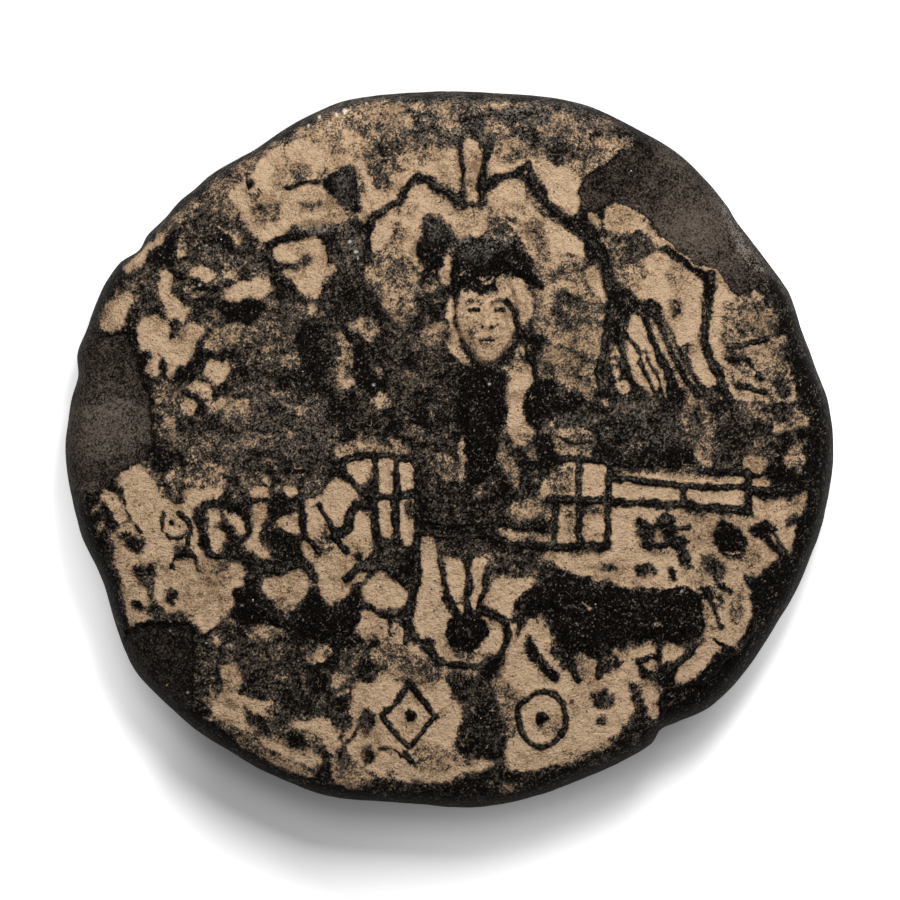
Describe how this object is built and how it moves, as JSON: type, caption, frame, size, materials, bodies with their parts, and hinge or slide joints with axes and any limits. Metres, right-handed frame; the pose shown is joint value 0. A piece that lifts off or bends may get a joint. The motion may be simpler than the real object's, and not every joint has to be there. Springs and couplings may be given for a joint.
{
  "type": "pilgrim souvenir disc",
  "caption": "Hand-pressed disc of dark fired clay with a worn stamped relief of a figure on a column and two beasts, with pale earth in its sunk fields.",
  "frame": {"origin": "under the middle of the disc, on the surface that its back rests on", "axes": "+Z out of the stamped face, +Y to the top of the stamped picture, +X to its right"},
  "size_m": [0.077, 0.0716, 0.0118],
  "materials": {
    "fired_clay": "rough dark fired clay, worn, with fine mica specks and pits",
    "pale_earth": "matt pale brown earth with small dark specks"
  },
  "bodies": {
    "root": {"disc_body": "fired_clay", "earth_upper_left": "pale_earth", "earth_beside_point": "pale_earth", "earth_canopy_top": "pale_earth", "earth_between_posts": "pale_earth", "earth_right_of_posts": "pale_earth", "earth_canopy_right": "pale_earth", "earth_under_canopy": "pale_earth", "earth_under_canopy_left": "pale_earth", "earth_shield": "pale_earth", "earth_beside_hair": "pale_earth", "earth_left_patch": "pale_earth", "earth_left_wedge": "pale_earth", "earth_left_drop": "pale_earth", "earth_left_crescent": "pale_earth", "earth_left_roundel": "pale_earth", "earth_left_lobe": "pale_earth", "earth_sleeve": "pale_earth", "earth_beside_sleeve": "pale_earth", "earth_right_shoulder": "pale_earth", "earth_right_field": "pale_earth", "earth_over_boxes": "pale_earth", "earth_right_hem": "pale_earth", "earth_right_edge": "pale_earth", "earth_fold": "pale_earth", "earth_box_1": "pale_earth", "earth_box_2": "pale_earth", "earth_box_3": "pale_earth", "earth_box_4": "pale_earth", "earth_box_5": "pale_earth", "earth_box_6": "pale_earth", "earth_box_7": "pale_earth", "earth_box_8": "pale_earth", "earth_box_9": "pale_earth", "earth_band_1": "pale_earth", "earth_band_2": "pale_earth", "earth_band_3": "pale_earth", "earth_left_field": "pale_earth", "earth_left_edge": "pale_earth", "earth_lobe_1": "pale_earth", "earth_lobe_2": "pale_earth", "earth_beside_boxes": "pale_earth", "earth_column": "pale_earth", "earth_between_lines": "pale_earth", "earth_right_of_column": "pale_earth", "earth_bottom_left": "pale_earth", "earth_bottom_middle": "pale_earth", "earth_bottom_right": "pale_earth", "earth_above_beast": "pale_earth", "earth_lower_right": "pale_earth", "earth_bead_1": "pale_earth", "earth_bead_2": "pale_earth", "earth_bead_3": "pale_earth", "earth_bead_4": "pale_earth", "earth_in_lozenge": "pale_earth", "earth_in_ring": "pale_earth"}
  },
  "joints": []
}
